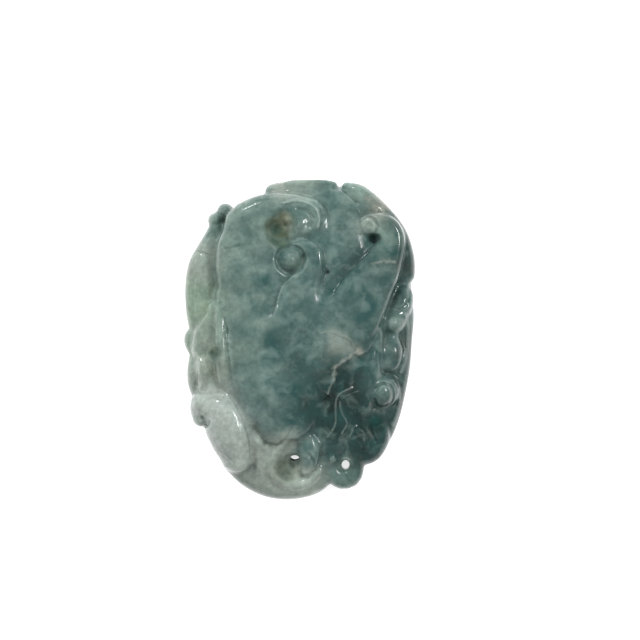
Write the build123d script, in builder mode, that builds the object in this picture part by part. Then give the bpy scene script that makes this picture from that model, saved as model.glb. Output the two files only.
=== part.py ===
"""A jade pendant carved as a Buddha's hand citron, lying on its flat back.

One solid. +X is the right of the carved face, +Y its top and +Z the way it faces.
The origin is under the middle of the stone, on the surface that it lies on.
"""

import os

from build123d import *

# The whole stone, in millimetres
STONE_WIDTH = 37.2
STONE_LENGTH = 51.0
STONE_THICKNESS = 13.0

# The slab that every form grows from
SLAB_HEIGHT = 6.6
SLAB_BACK_ROUNDING = 1.6
SLAB_FRONT_ROUNDING = 2.0

# How high above the back the undersides of the forms lie
LOW_UNDERSIDE = 1.1
BUD_UNDERSIDE = 1.9
FRONT_UNDERSIDE = 2.6

# The full width of each form where it is widest
PALM_WIDTH = 25.0
THUMB_WIDTH = 9.2
MIDDLE_FINGER_WIDTH = 7.4
RIGHT_FINGER_WIDTH = 8.8
BACK_FINGER_WIDTH = 15.6
FAR_FINGER_WIDTH = 5.2
SIDE_FINGER_WIDTH = 5.6
LEFT_LEAF_WIDTH = 4.0
LEFT_HUSK_WIDTH = 2.9
LEFT_BUMP_WIDTH = 2.6
SCROLL_WIDTH = 6.4
SCROLL_HEAD_WIDTH = 5.0
FOOT_WIDTH = 5.2
VINE_WIDTH = 2.6
VINE_TIP_WIDTH = 3.8
LOOP_WIDTH = 2.9
RIM_WIDTH = 5.6
SIDE_LOBE_WIDTH = 3.6
LOW_FACE_WIDTH = 8.6
TWIG_WIDTH = 2.0
TWIG_LEAF_WIDTH = 5.2
BROAD_LEAF_WIDTH = 8.4

# Pierced and drilled places
CORD_HOLE_RADIUS = 0.65
VINE_HOLE_LENGTH = 1.4
VINE_HOLE_WIDTH = 0.9
FINGER_PIT_RADIUS = 1.15
FINGER_PIT_DEPTH = 7.2

# Corners that the slab's outline runs through, clockwise from the top
# across and up: shares of the stone's half width and half length
SLAB_OUTLINE = (
    # across, up
    (0.00, 0.965),
    (0.32, 0.950),
    (0.565, 0.885),
    (0.78, 0.735),
    (0.915, 0.55),
    (0.965, 0.35),
    (0.95, 0.155),
    (0.935, -0.08),
    (0.90, -0.255),
    (0.835, -0.47),
    (0.73, -0.665),
    (0.575, -0.79),
    (0.35, -0.88),
    (0.08, -0.955),
    (-0.16, -0.96),
    (-0.40, -0.90),
    (-0.61, -0.79),
    (-0.75, -0.645),
    (-0.85, -0.43),
    (-0.90, -0.235),
    (-0.915, -0.04),
    (-0.93, 0.195),
    (-0.91, 0.41),
    (-0.81, 0.60),
    (-0.645, 0.755),
    (-0.43, 0.87),
    (-0.24, 0.935),
)

# Each table has a row for each section of a form, from its root to its tip.
# across and up: the middle of the section, as shares of the stone's half width and half length
# crest: the height of the section's top, as a share of the stone's thickness
# wide: the section's width, as a share of the form's own
PALM = (
    # across, up, crest, wide
    (-0.21, -0.62, 0.66, 0.16),
    (-0.17, -0.56, 0.82, 0.40),
    (-0.155, -0.45, 0.91, 0.58),
    (-0.145, -0.295, 0.97, 0.72),
    (-0.085, -0.155, 0.99, 0.82),
    (0.02, -0.04, 1.00, 0.95),
    (0.06, 0.08, 0.98, 1.00),
    (0.07, 0.17, 0.92, 0.98),
    (0.07, 0.25, 0.80, 0.88),
    (0.07, 0.31, 0.62, 0.70),
)
THUMB = (
    (-0.29, -0.16, 0.80, 0.56),
    (-0.365, 0.06, 0.90, 0.90),
    (-0.43, 0.30, 0.93, 1.00),
    (-0.465, 0.50, 0.93, 0.98),
    (-0.455, 0.62, 0.92, 0.90),
    (-0.385, 0.745, 0.91, 0.68),
    (-0.26, 0.83, 0.90, 0.46),
)
THUMB_CURL = (
    (-0.47, 0.60, 0.86, 0.56),
    (-0.40, 0.73, 0.90, 0.56),
    (-0.27, 0.82, 0.90, 0.44),
    (-0.10, 0.86, 0.89, 0.34),
    (0.05, 0.835, 0.88, 0.36),
    (0.13, 0.765, 0.86, 0.42),
    (0.12, 0.685, 0.82, 0.40),
    (0.07, 0.62, 0.66, 0.24),
)
MIDDLE_FINGER = (
    (-0.02, 0.06, 0.90, 0.80),
    (0.01, 0.22, 0.94, 1.00),
    (0.055, 0.36, 0.94, 0.76),
    (0.12, 0.455, 0.92, 0.54),
    (0.12, 0.535, 0.90, 0.40),
    (0.04, 0.58, 0.87, 0.32),
    (-0.06, 0.56, 0.84, 0.32),
)
RIGHT_FINGER = (
    (0.27, 0.02, 0.88, 0.90),
    (0.43, 0.18, 0.92, 1.00),
    (0.57, 0.34, 0.92, 0.92),
    (0.68, 0.465, 0.91, 0.72),
    (0.77, 0.575, 0.90, 0.52),
    (0.785, 0.665, 0.89, 0.42),
    (0.715, 0.72, 0.87, 0.36),
    (0.61, 0.715, 0.83, 0.36),
)
BACK_FINGER = (
    (0.10, 0.14, 0.74, 0.66),
    (0.11, 0.38, 0.80, 0.84),
    (0.135, 0.60, 0.82, 0.98),
    (0.11, 0.78, 0.79, 1.00),
    (0.06, 0.90, 0.70, 0.82),
    (0.03, 0.965, 0.57, 0.54),
    (0.03, 0.985, 0.42, 0.24),
)
FAR_FINGER = (
    (0.37, 0.955, 0.42, 0.22),
    (0.44, 0.925, 0.53, 0.52),
    (0.56, 0.855, 0.60, 0.82),
    (0.70, 0.725, 0.63, 1.00),
    (0.82, 0.595, 0.63, 1.00),
    (0.88, 0.47, 0.60, 0.86),
    (0.90, 0.36, 0.52, 0.64),
)
SIDE_FINGER = (
    (-0.83, 0.00, 0.56, 0.60),
    (-0.83, 0.15, 0.63, 0.92),
    (-0.83, 0.32, 0.66, 1.00),
    (-0.81, 0.46, 0.64, 0.92),
    (-0.765, 0.56, 0.60, 0.66),
    (-0.72, 0.65, 0.56, 0.44),
    (-0.70, 0.71, 0.50, 0.32),
)
LEFT_LEAF = (
    (-0.77, 0.16, 0.62, 0.16),
    (-0.81, 0.08, 0.70, 0.52),
    (-0.83, 0.00, 0.72, 0.80),
    (-0.83, -0.08, 0.69, 0.90),
    (-0.82, -0.15, 0.62, 0.74),
    (-0.815, -0.20, 0.50, 0.36),
)
LEFT_BUMP = (
    (-0.905, 0.085, 0.40, 0.50),
    (-0.925, 0.04, 0.46, 0.96),
    (-0.925, -0.03, 0.46, 1.00),
    (-0.905, -0.09, 0.41, 0.60),
)
LEFT_HUSK = (
    (-0.86, -0.10, 0.56, 0.50),
    (-0.865, -0.18, 0.64, 0.86),
    (-0.865, -0.25, 0.64, 1.00),
    (-0.845, -0.32, 0.56, 0.80),
)
SCROLL = (
    (-0.54, -0.80, 0.50, 0.40),
    (-0.56, -0.74, 0.68, 0.76),
    (-0.59, -0.65, 0.78, 0.96),
    (-0.63, -0.55, 0.80, 1.00),
    (-0.67, -0.45, 0.80, 0.88),
    (-0.71, -0.375, 0.76, 0.60),
)
SCROLL_HEAD = (
    (-0.76, -0.34, 0.70, 0.76),
    (-0.80, -0.40, 0.75, 0.96),
    (-0.825, -0.455, 0.72, 0.86),
    (-0.83, -0.51, 0.64, 0.56),
)
FOOT = (
    (-0.57, -0.765, 0.46, 0.50),
    (-0.43, -0.83, 0.53, 0.80),
    (-0.24, -0.885, 0.55, 0.96),
    (-0.06, -0.90, 0.55, 1.00),
    (0.12, -0.88, 0.53, 0.90),
    (0.23, -0.845, 0.47, 0.66),
)
VINE = (
    (-0.04, -0.545, 0.70, 0.24),
    (-0.11, -0.62, 0.70, 0.86),
    (-0.185, -0.70, 0.68, 1.00),
    (-0.20, -0.79, 0.65, 1.00),
    (-0.13, -0.865, 0.61, 1.00),
    (-0.01, -0.89, 0.59, 1.00),
    (0.11, -0.865, 0.60, 1.00),
    (0.18, -0.79, 0.62, 0.90),
)
VINE_TIP = (
    (0.08, -0.61, 0.60, 0.50),
    (0.085, -0.66, 0.70, 0.90),
    (0.085, -0.73, 0.71, 1.00),
    (0.08, -0.79, 0.66, 0.76),
    (0.07, -0.84, 0.57, 0.36),
)
LOOP = (
    (0.27, -0.77, 0.56, 0.80),
    (0.28, -0.84, 0.54, 0.90),
    (0.34, -0.885, 0.52, 1.00),
    (0.42, -0.885, 0.52, 1.00),
    (0.475, -0.835, 0.53, 0.90),
    (0.475, -0.77, 0.56, 0.80),
)
RIM = (
    (0.88, 0.335, 0.48, 0.56),
    (0.865, 0.16, 0.56, 0.84),
    (0.84, 0.00, 0.58, 0.94),
    (0.825, -0.15, 0.59, 0.98),
    (0.79, -0.30, 0.60, 1.00),
    (0.74, -0.45, 0.59, 1.00),
    (0.665, -0.585, 0.56, 0.94),
    (0.575, -0.69, 0.50, 0.78),
)
SIDE_LOBE = (
    (0.80, 0.02, 0.64, 0.50),
    (0.79, -0.05, 0.73, 0.96),
    (0.78, -0.13, 0.73, 1.00),
    (0.76, -0.20, 0.64, 0.60),
)
LOW_FACE = (
    (0.48, 0.06, 0.74, 0.80),
    (0.48, -0.08, 0.80, 0.98),
    (0.44, -0.21, 0.78, 1.00),
    (0.40, -0.33, 0.73, 0.86),
    (0.345, -0.47, 0.68, 0.70),
    (0.30, -0.61, 0.56, 0.44),
)
TWIG = (
    (0.46, -0.30, 0.80, 0.60),
    (0.37, -0.34, 0.83, 0.80),
    (0.33, -0.42, 0.83, 0.90),
    (0.33, -0.50, 0.80, 1.00),
    (0.31, -0.57, 0.73, 1.00),
    (0.26, -0.65, 0.66, 0.90),
)
TWIG_LEAF = (
    (0.50, -0.28, 0.70, 0.50),
    (0.51, -0.36, 0.76, 0.90),
    (0.50, -0.44, 0.76, 1.00),
    (0.48, -0.52, 0.68, 0.60),
)
BROAD_LEAF = (
    (0.60, -0.40, 0.60, 0.60),
    (0.58, -0.52, 0.68, 0.96),
    (0.52, -0.63, 0.67, 1.00),
    (0.44, -0.72, 0.56, 0.60),
)

# Round ends and buds, each an upright egg
BUDS = (
    # across, up, crest, radius in millimetres
    (0.03, 0.655, 0.82, 1.6),
    (-0.07, 0.50, 0.90, 1.95),
    (0.575, 0.70, 0.87, 1.75),
    (-0.225, 0.92, 0.56, 1.4),
    (-0.71, 0.74, 0.56, 1.35),
    (-0.63, 0.795, 0.57, 1.45),
    (0.28, -0.745, 0.64, 1.35),
    (0.88, 0.265, 0.68, 2.1),
    (0.80, 0.11, 0.76, 2.0),
    (0.71, -0.32, 0.82, 2.8),
)

# The middles of the holes
CORD_HOLE = (0.40, -0.785)
VINE_HOLE = (-0.035, -0.74)
FINGER_PIT = (0.635, 0.625)


def spot(across, up, height=0.0):
    """A point of the stone: shares of its half width and half length, and a height in millimetres."""
    return Vector(across * STONE_WIDTH / 2, up * STONE_LENGTH / 2, height)


def ridge(table, width, underside):
    """Lofts one raised form through upright ovals, one for each row of its table."""
    middles = [spot(across, up) for across, up, crest, wide in table]
    ovals = []
    for place, (across, up, crest, wide) in enumerate(table):
        before = middles[max(place - 1, 0)]
        after = middles[min(place + 1, len(middles) - 1)]
        heading = (after - before).normalized()
        top = crest * STONE_THICKNESS
        section = Plane(
            origin=spot(across, up, (top + underside) / 2),
            x_dir=(-heading.Y, heading.X, 0),
            z_dir=heading,
        )
        with BuildSketch(section, mode=Mode.PRIVATE) as oval:
            Ellipse(wide * width / 2, (top - underside) / 2)
        ovals.append(oval.sketch)
    loft(ovals)


def egg(across, up, top, bottom, radius, mode=Mode.ADD):
    """An upright egg that reaches from bottom to top."""
    half_height = (top - bottom) / 2
    middle = spot(across, up, (top + bottom) / 2)
    with BuildSketch(Plane(middle, x_dir=(1, 0, 0), z_dir=(0, -1, 0)), mode=Mode.PRIVATE) as side:
        Ellipse(radius, half_height)
        with Locations((-radius, 0)):
            Rectangle(2 * radius, 2 * half_height, mode=Mode.SUBTRACT)
    revolve(side.sketch, axis=Axis(middle, (0, 0, 1)), mode=mode, clean=False)


with BuildPart() as slab:
    with BuildSketch():
        with BuildLine():
            Spline([spot(across, up) for across, up in SLAB_OUTLINE], periodic=True)
        make_face()
    extrude(amount=SLAB_HEIGHT)
    fillet(slab.edges().group_by(Axis.Z)[0], SLAB_BACK_ROUNDING)
    fillet(slab.edges().group_by(Axis.Z)[-1], SLAB_FRONT_ROUNDING)

with BuildPart() as palm:
    ridge(PALM, PALM_WIDTH, FRONT_UNDERSIDE)

with BuildPart() as thumb:
    ridge(THUMB, THUMB_WIDTH, FRONT_UNDERSIDE)

with BuildPart() as thumb_curl:
    ridge(THUMB_CURL, THUMB_WIDTH, FRONT_UNDERSIDE)

with BuildPart() as middle_finger:
    ridge(MIDDLE_FINGER, MIDDLE_FINGER_WIDTH, FRONT_UNDERSIDE)

with BuildPart() as right_finger:
    ridge(RIGHT_FINGER, RIGHT_FINGER_WIDTH, FRONT_UNDERSIDE)

with BuildPart() as back_finger:
    ridge(BACK_FINGER, BACK_FINGER_WIDTH, LOW_UNDERSIDE)

with BuildPart() as far_finger:
    ridge(FAR_FINGER, FAR_FINGER_WIDTH, LOW_UNDERSIDE)

with BuildPart() as side_finger:
    ridge(SIDE_FINGER, SIDE_FINGER_WIDTH, LOW_UNDERSIDE)

with BuildPart() as left_leaf:
    ridge(LEFT_LEAF, LEFT_LEAF_WIDTH, LOW_UNDERSIDE)

with BuildPart() as left_husk:
    ridge(LEFT_HUSK, LEFT_HUSK_WIDTH, LOW_UNDERSIDE)

with BuildPart() as left_bump:
    ridge(LEFT_BUMP, LEFT_BUMP_WIDTH, LOW_UNDERSIDE)

with BuildPart() as scroll:
    ridge(SCROLL, SCROLL_WIDTH, LOW_UNDERSIDE)

with BuildPart() as scroll_head:
    ridge(SCROLL_HEAD, SCROLL_HEAD_WIDTH, LOW_UNDERSIDE)

with BuildPart() as foot:
    ridge(FOOT, FOOT_WIDTH, LOW_UNDERSIDE)

with BuildPart() as vine:
    ridge(VINE, VINE_WIDTH, FRONT_UNDERSIDE)

with BuildPart() as vine_tip:
    ridge(VINE_TIP, VINE_TIP_WIDTH, FRONT_UNDERSIDE)

with BuildPart() as loop:
    ridge(LOOP, LOOP_WIDTH, LOW_UNDERSIDE)

with BuildPart() as rim:
    ridge(RIM, RIM_WIDTH, LOW_UNDERSIDE)

with BuildPart() as side_lobe:
    ridge(SIDE_LOBE, SIDE_LOBE_WIDTH, FRONT_UNDERSIDE)

with BuildPart() as low_face:
    ridge(LOW_FACE, LOW_FACE_WIDTH, FRONT_UNDERSIDE)

with BuildPart() as twig:
    ridge(TWIG, TWIG_WIDTH, FRONT_UNDERSIDE)

with BuildPart() as twig_leaf:
    ridge(TWIG_LEAF, TWIG_LEAF_WIDTH, FRONT_UNDERSIDE)

with BuildPart() as broad_leaf:
    ridge(BROAD_LEAF, BROAD_LEAF_WIDTH, FRONT_UNDERSIDE)

with BuildPart() as buds:
    for across, up, crest, radius in BUDS:
        egg(across, up, crest * STONE_THICKNESS, BUD_UNDERSIDE, radius)

FORMS = (
    slab,
    palm,
    thumb,
    thumb_curl,
    middle_finger,
    right_finger,
    back_finger,
    far_finger,
    side_finger,
    left_leaf,
    left_husk,
    left_bump,
    scroll,
    scroll_head,
    foot,
    vine,
    vine_tip,
    loop,
    rim,
    side_lobe,
    low_face,
    twig,
    twig_leaf,
    broad_leaf,
    buds,
)

with BuildPart() as carving:
    add([form.part for form in FORMS], clean=False)
    with BuildSketch():
        with Locations(spot(*CORD_HOLE)):
            Circle(CORD_HOLE_RADIUS)
        with Locations(spot(*VINE_HOLE)):
            Ellipse(VINE_HOLE_LENGTH / 2, VINE_HOLE_WIDTH / 2)
    extrude(amount=STONE_THICKNESS, both=True, mode=Mode.SUBTRACT, clean=False)
    with BuildSketch(Plane.XY.offset(STONE_THICKNESS)):
        with Locations(spot(*FINGER_PIT)):
            Circle(FINGER_PIT_RADIUS)
    extrude(amount=-FINGER_PIT_DEPTH, mode=Mode.SUBTRACT, clean=False)

with BuildPart() as carved_jade:
    outline = carving.part.bounding_box()
    with Locations((-outline.center().X, -outline.center().Y, -outline.min.Z)):
        add(carving.part)

os.makedirs("parts", exist_ok=True)
carved_jade.part.label = "carved_jade"
export_step(carved_jade.part, "parts/carved_jade.step")
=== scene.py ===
import math

import bmesh
import bpy
from mathutils import Matrix, Vector, kdtree


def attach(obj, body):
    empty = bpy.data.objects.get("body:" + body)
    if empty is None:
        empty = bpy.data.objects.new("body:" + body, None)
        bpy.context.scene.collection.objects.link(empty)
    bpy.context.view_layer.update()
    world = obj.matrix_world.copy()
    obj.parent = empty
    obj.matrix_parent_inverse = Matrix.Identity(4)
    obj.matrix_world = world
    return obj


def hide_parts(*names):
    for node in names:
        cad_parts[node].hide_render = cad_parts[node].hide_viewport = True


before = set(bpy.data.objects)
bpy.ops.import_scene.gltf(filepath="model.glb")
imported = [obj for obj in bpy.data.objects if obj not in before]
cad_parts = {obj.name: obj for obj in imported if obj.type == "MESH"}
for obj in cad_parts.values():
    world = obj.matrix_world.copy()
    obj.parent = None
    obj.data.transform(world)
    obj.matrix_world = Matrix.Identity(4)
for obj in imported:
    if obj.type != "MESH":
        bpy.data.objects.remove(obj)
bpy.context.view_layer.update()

# The slab of stone.
# A flat-backed oval slice of jadeite, sawn from the rough and ground to the pendant's outline.
# Everything on its face is carved out of the same piece, so the forms below are all laid on it.
# Sizes are in millimetres here, and the finished mesh is brought to metres at the end.
clay = bmesh.new()
SECTION_CORNERS = 40
FORM_STEP = 0.6
SLAB_OUTLINE = (
    (0.0, 24.5), (3.4, 24.6), (6.2, 23.9), (10.4, 22.7), (14.2, 19.2), (16.6, 15.4), (17.8, 11.0),
    (17.9, 7.0), (17.9, 2.0), (17.5, -3.5), (16.7, -8.0), (15.4, -12.6), (13.5, -17.0), (11.0, -19.7),
    (7.0, -22.2), (2.5, -24.0), (-1.5, -24.7), (-5.5, -24.0), (-9.2, -21.7), (-12.6, -18.2),
    (-14.2, -14.4), (-16.2, -10.0), (-16.9, -5.0), (-17.2, 0.0), (-17.5, 5.0), (-17.2, 10.0),
    (-15.2, 14.2), (-13.2, 18.2), (-10.2, 20.0), (-7.0, 22.0), (-3.6, 23.8),
)
# height above the back, and how far in from the outline
SLAB_LEVELS = (
    (0.0, 1.5), (0.25, 0.85), (0.8, 0.3), (1.6, 0.0), (4.0, 0.0), (5.2, 0.4), (6.4, 1.3), (7.4, 2.6),
    (8.0, 4.0),
)


def between(before, start, end, after, share):
    """A smooth line through four rows, read between the middle two."""
    square = share * share
    cube = square * share
    return tuple(
        0.5 * (
            2 * b + (c - a) * share + (2 * a - 5 * b + 4 * c - d) * square + (3 * b - a - 3 * c + d) * cube
        )
        for a, b, c, d in zip(before, start, end, after)
    )


def smoothed(rows, step, closed=False):
    """More rows, a step apart, on a smooth line through the given ones."""
    count = len(rows)
    line = []
    for place in range(count if closed else count - 1):
        if closed:
            four = [rows[(place + shift) % count] for shift in (-1, 0, 1, 2)]
        else:
            four = [rows[min(max(place + shift, 0), count - 1)] for shift in (-1, 0, 1, 2)]
        length = math.dist(four[1][:2], four[2][:2])
        parts = max(1, round(length / step))
        for part in range(parts):
            line.append(between(*four, part / parts))
    if not closed:
        line.append(tuple(rows[-1]))
    return line


def lay_on(form):
    """Lays a finished form on the clay."""
    laid = bpy.data.meshes.new("laid_form")
    form.to_mesh(laid)
    form.free()
    clay.from_mesh(laid)
    bpy.data.meshes.remove(laid)


def skin(form, rings):
    """Joins rings of corners into one closed skin."""
    loops = [list({edge for corner in corners for edge in corner.link_edges}) for corners in rings]
    for first, second in zip(loops, loops[1:]):
        bmesh.ops.bridge_loops(form, edges=first + second)
    for loop in (loops[0], loops[-1]):
        bmesh.ops.contextual_create(form, geom=loop)
    lay_on(form)


slab = bmesh.new()
outline = smoothed(SLAB_OUTLINE, FORM_STEP, closed=True)
rings = []
for height, inset in SLAB_LEVELS:
    corners = bmesh.ops.create_circle(slab, segments=len(outline), radius=1.0)["verts"]
    for place, corner in enumerate(corners):
        ahead = Vector(outline[(place + 1) % len(outline)]) - Vector(outline[place - 1])
        inwards = Vector((ahead.y, -ahead.x)).normalized() * inset
        corner.co = (outline[place][0] + inwards.x, outline[place][1] + inwards.y, height)
    rings.append(corners)
skin(slab, rings)


def raise_form(rows, underside, squareness=3.2, rounding=0.9, bluntness=2.0):
    """One carved form: upright sections along its line, each pressed from a circle, with rounded ends.

    Each row is the middle's place across and up the stone, the height of the top, and the width.
    """
    line = smoothed(rows, FORM_STEP)
    sections = []
    for place, (across, up, top, width) in enumerate(line):
        before = line[max(place - 1, 0)]
        after = line[min(place + 1, len(line) - 1)]
        heading = Vector((after[0] - before[0], after[1] - before[1], 0)).normalized()
        sections.append((Vector((across, up, 0)), heading, top, width / 2, 1.0))
    ends = []
    for (middle, heading, top, half, full), way in ((sections[0], -1), (sections[-1], 1)):
        end = []
        for turn in (0.35, 0.65, 0.88):
            angle = turn * math.pi / 2
            reach = rounding * half * math.sin(angle) ** (2 / bluntness)
            shrink = math.cos(angle) ** (2 / bluntness)
            end.append((middle + way * reach * heading, heading, top, half * shrink, shrink ** 0.35))
        ends.append(end)
    form = bmesh.new()
    rings = []
    for middle, heading, top, half, full in ends[0][::-1] + sections + ends[1]:
        side = Vector((-heading.y, heading.x, 0))
        half_height = (top - underside) / 2
        corners = bmesh.ops.create_circle(form, segments=SECTION_CORNERS, radius=1.0)["verts"]
        for corner in corners:
            out = math.copysign(abs(corner.co.x) ** (2 / squareness), corner.co.x)
            rise = math.copysign(abs(corner.co.y) ** (2 / squareness), corner.co.y)
            corner.co = middle + side * out * half
            corner.co.z = underside + half_height * (1 + rise * full)
        rings.append(corners)
    skin(form, rings)


def raise_bud(across, up, top, radius, underside, stretch=1.0, turn=0.0):
    """A round bud or finger end."""
    half_height = (top - underside) / 2
    place = (
        Matrix.Translation((across, up, underside + half_height))
        @ Matrix.Rotation(math.radians(turn), 4, "Z")
        @ Matrix.Diagonal((radius, radius * stretch, half_height, 1))
    )
    form = bmesh.new()
    bmesh.ops.create_uvsphere(form, u_segments=40, v_segments=24, radius=1.0, matrix=place)
    lay_on(form)


# The fingers behind.
# Two lower fingers lie behind the front ones: a broad one that fills the top and bends left,
# and a narrow one that follows the edge at the top right and ends in a blunt tip. A small nub
# lies at the left of the broad one's end.
BACK_FINGER = (
    (1.9, 3.0, 10.6, 9.0), (2.0, 8.0, 11.3, 13.6), (2.0, 11.5, 11.4, 18.6), (2.0, 14.5, 11.4, 20.0),
    (2.0, 17.0, 11.1, 18.6), (2.0, 19.5, 10.6, 15.8), (1.9, 21.4, 9.9, 14.8), (1.8, 22.5, 9.4, 12.6),
    (1.7, 23.4, 9.0, 10.6), (1.7, 24.0, 8.7, 9.4),
)
TOP_NUB = ((-4.3, 23.5, 8.0, 2.5), (-3.2, 23.7, 8.2, 2.7), (-1.9, 23.8, 8.2, 2.7))
FAR_FINGER = (
    (7.6, 24.2, 8.0, 1.9), (9.2, 23.0, 8.8, 3.9), (11.7, 20.0, 9.6, 5.3), (14.4, 16.3, 9.4, 5.8),
    (16.0, 12.8, 8.6, 5.0), (16.7, 10.3, 7.6, 3.8),
)
raise_form(BACK_FINGER, 3.0, squareness=4.4, rounding=0.3, bluntness=3.6)
raise_form(TOP_NUB, 1.6, squareness=2.8)
raise_form(FAR_FINGER, 1.2, squareness=3.0)

# The low finger and leaves on the left.
# A ribbed low finger runs up the left edge to a knobbed tip. Below it a pointed leaf, a husk and
# a small bud fold over each other, cut with a fine wheel.
SIDE_FINGER = (
    (-15.2, 0.5, 7.4, 4.2), (-15.3, 4.0, 8.4, 5.4), (-15.3, 8.2, 8.7, 5.8), (-15.1, 11.6, 8.4, 5.2),
    (-14.3, 14.3, 8.0, 4.0), (-13.6, 16.6, 7.4, 2.8), (-13.1, 18.2, 7.0, 2.2),
)
LEFT_LEAF = (
    (-13.7, 5.4, 9.2, 0.8), (-14.4, 3.6, 9.7, 1.8), (-14.9, 2.0, 10.0, 2.8), (-15.2, 0.2, 9.9, 3.6),
    (-15.4, -1.4, 9.2, 3.6), (-15.4, -3.0, 8.0, 2.8),
)
LEFT_HUSK = (
    (-15.2, -2.6, 8.4, 2.4), (-14.9, -4.2, 9.1, 3.4), (-14.7, -6.0, 9.0, 3.6), (-14.6, -8.0, 8.6, 3.2),
)
LEFT_SLOPE = (
    (-12.2, 7.4, 11.4, 2.4), (-12.0, 2.0, 11.8, 3.6), (-11.8, -2.0, 11.8, 3.8), (-11.6, -6.0, 11.4, 3.6),
    (-11.0, -9.0, 10.4, 2.8),
)
LEFT_COLUMN = (
    (-13.5, 5.0, 10.2, 2.6), (-13.5, 1.6, 10.2, 3.0), (-13.5, -0.6, 9.8, 3.0), (-13.5, -4.0, 9.6, 3.0),
    (-13.4, -8.0, 9.6, 3.0),
)
LEFT_EDGE = (
    (-16.5, -2.8, 6.2, 2.2), (-16.6, -5.0, 7.0, 2.6), (-16.5, -7.0, 7.0, 2.6), (-16.3, -8.6, 6.4, 2.0),
)
LEFT_BUMP = ((-16.9, 1.3, 6.0, 1.6), (-17.2, 0.4, 6.6, 2.4), (-17.1, -1.0, 6.6, 2.3), (-16.8, -2.2, 6.0, 1.5))
raise_form(SIDE_FINGER, 1.2, squareness=2.8)
raise_bud(-13.3, 18.95, 7.4, 1.3, 1.6)
raise_bud(-11.75, 20.4, 7.4, 1.35, 1.8)
raise_form(LEFT_LEAF, 1.6, squareness=2.6)
raise_form(LEFT_HUSK, 1.6, squareness=2.6)
raise_form(LEFT_SLOPE, 1.6, squareness=2.5)
raise_form(LEFT_COLUMN, 1.6, squareness=2.6)
raise_form(LEFT_EDGE, 1.2, squareness=2.4)
raise_form(LEFT_BUMP, 1.4, squareness=2.4)

# The right edge.
# A low rounded rim runs down the right side, with a curl and three buds lying on it.
RIM = (
    (16.4, 8.4, 6.4, 3.2), (15.9, 4.0, 7.2, 5.0), (15.4, 0.0, 7.4, 5.4), (15.0, -4.0, 7.6, 5.6),
    (14.2, -8.0, 7.6, 5.8), (13.1, -12.0, 7.5, 6.0), (11.7, -15.4, 7.2, 5.8), (10.3, -18.0, 6.6, 4.4),
)
SIDE_CURL = ((16.6, 8.3, 7.4, 2.2), (16.7, 6.8, 8.6, 3.2), (16.2, 5.2, 9.0, 3.8), (15.4, 3.8, 9.4, 3.8))
SIDE_LOBE = ((14.7, 0.2, 9.0, 3.0), (14.6, -1.6, 9.8, 4.2), (14.4, -3.6, 9.6, 4.0))
raise_form(RIM, 1.2, squareness=2.8)
raise_form(SIDE_CURL, 1.6, squareness=2.8)
raise_bud(14.9, 2.6, 10.2, 2.2, 2.0, stretch=1.1)
raise_form(SIDE_LOBE, 2.0, squareness=2.8)
raise_bud(13.2, -8.3, 10.8, 2.8, 2.0, stretch=1.12)

# The pale scroll.
# A bean-shaped finger end curls over at the lower left, the palest and clearest part of the stone.
SCROLL = (
    (-9.7, -18.7, 10.4, 5.8), (-10.0, -17.0, 11.1, 7.2), (-10.6, -14.5, 11.6, 8.2), (-11.6, -12.0, 11.6, 8.1),
    (-13.0, -10.8, 11.2, 7.0), (-14.4, -10.5, 10.6, 5.6),
)
SCROLL_HEAD = ((-15.0, -10.2, 9.9, 4.6), (-15.4, -11.4, 9.4, 4.1), (-15.5, -12.6, 8.8, 3.1))
raise_form(SCROLL, 1.6, squareness=2.1)
raise_form(SCROLL_HEAD, 1.4, squareness=2.6)

# The foot, the pierced curl and the cord loop.
# Below the fruit a low foot follows the edge. On it a vine curls round a hollow that is pierced
# through, and a small lobe at the right is drilled for the cord.
FOOT = (
    (-10.6, -19.6, 6.8, 3.4), (-8.0, -21.3, 7.4, 4.6), (-4.6, -22.8, 7.4, 5.0), (-1.0, -23.1, 7.2, 5.0),
    (2.2, -22.5, 7.2, 4.6), (4.0, -21.4, 7.0, 3.8),
)
VINE_FIELD = (
    (-2.6, -15.0, 9.0, 8.6), (-2.4, -17.4, 8.8, 10.8), (-2.2, -20.0, 8.2, 10.6), (-1.8, -22.2, 7.4, 8.6),
)
LOW_LEAF = (
    (-7.4, -14.6, 9.6, 2.2), (-6.6, -16.2, 9.6, 2.8), (-6.0, -18.0, 9.0, 2.8), (-5.9, -20.0, 8.4, 2.6),
    (-6.2, -22.0, 7.8, 2.0),
)
LEAF_FIELD = (
    (-9.6, -11.0, 9.8, 2.6), (-8.4, -14.0, 9.4, 4.2), (-6.4, -16.4, 8.8, 5.4), (-5.0, -18.4, 8.4, 5.4),
)
VINE_RING = (
    (-0.9, -13.8, 10.0, 0.9), (-1.9, -15.6, 9.9, 2.3), (-3.5, -17.4, 9.5, 2.6), (-4.2, -19.8, 8.9, 2.5),
    (-3.4, -22.1, 8.3, 2.4), (-1.0, -23.2, 8.0, 2.3), (1.6, -22.6, 8.0, 2.2), (3.2, -20.8, 8.2, 2.0),
)
VINE_DISC = (
    (1.2, -15.8, 9.7, 3.6), (1.6, -17.4, 9.9, 4.2), (1.6, -19.4, 9.5, 3.4), (1.2, -20.8, 8.8, 2.4),
)
LOOP = (
    (5.4, -20.0, 7.4, 2.6), (5.6, -21.4, 7.4, 3.0), (6.8, -22.3, 7.3, 3.4), (8.2, -22.0, 7.3, 3.4),
    (8.9, -20.8, 7.4, 3.0), (8.9, -19.4, 7.8, 2.8),
)
LOOP_FIELD = ((4.2, -17.0, 8.4, 3.4), (4.6, -19.2, 8.0, 3.8), (5.6, -21.0, 7.2, 3.6))
raise_form(FOOT, 1.2, squareness=2.8)
raise_form(VINE_FIELD, 2.0, squareness=3.0, rounding=0.3)
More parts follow.
